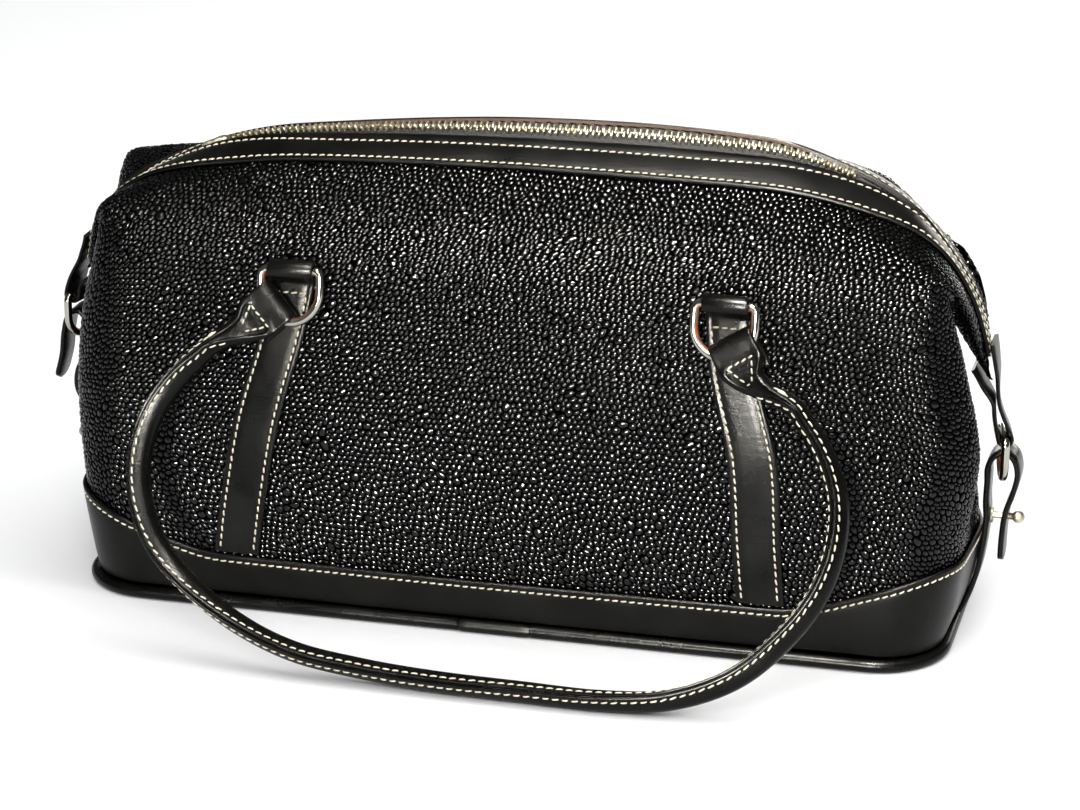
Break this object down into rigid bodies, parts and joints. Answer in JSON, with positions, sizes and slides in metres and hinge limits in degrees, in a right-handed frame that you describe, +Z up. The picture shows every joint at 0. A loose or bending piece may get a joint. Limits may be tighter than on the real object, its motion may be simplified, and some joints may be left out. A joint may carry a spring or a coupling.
{
  "type": "leather bag",
  "caption": "Zip-top leather travel bag standing on its base: pebbled panels, smooth band and strips, ring-mounted rolled handles fallen forward and back, strapped ends.",
  "frame": {"origin": "on the floor, under the middle of the base panel's bottom face", "axes": "+X along the bag's length towards its fastened end, -Y towards the front face, +Z up"},
  "size_m": [0.4819, 0.3006, 0.2326],
  "materials": {
    "pebbled_leather": "pebbled grain, glossy tops",
    "smooth_leather": "smooth satin, cream stitching",
    "zip_tape": "woven matt",
    "polished_nickel": "polished nickel plate",
    "zip_metal": "tumbled pale brass"
  },
  "bodies": {
    "root": {"back_panel": "pebbled_leather", "base_band_back": "smooth_leather", "base_band_front": "smooth_leather", "base_panel": "smooth_leather", "base_piping": "smooth_leather", "binding_back": "smooth_leather", "binding_front": "smooth_leather", "ear_tab_left": "smooth_leather", "ear_tab_right": "smooth_leather", "end_ring_left": "polished_nickel", "end_ring_right": "polished_nickel", "end_strap_left": "smooth_leather", "end_strap_right": "smooth_leather", "front_panel": "pebbled_leather", "handle_back": "smooth_leather", "handle_front": "smooth_leather", "handle_ring_back_left": "polished_nickel", "handle_ring_back_right": "polished_nickel", "handle_ring_front_left": "polished_nickel", "handle_ring_front_right": "polished_nickel", "piping_sleeve": "smooth_leather", "strip_back_left": "smooth_leather", "strip_back_right": "smooth_leather", "strip_front_left": "smooth_leather", "strip_front_right": "smooth_leather", "stud_left": "zip_metal", "stud_right": "zip_metal", "zip_chain": "zip_metal", "zip_slider": "zip_metal", "zip_tape": "zip_tape"}
  },
  "joints": []
}
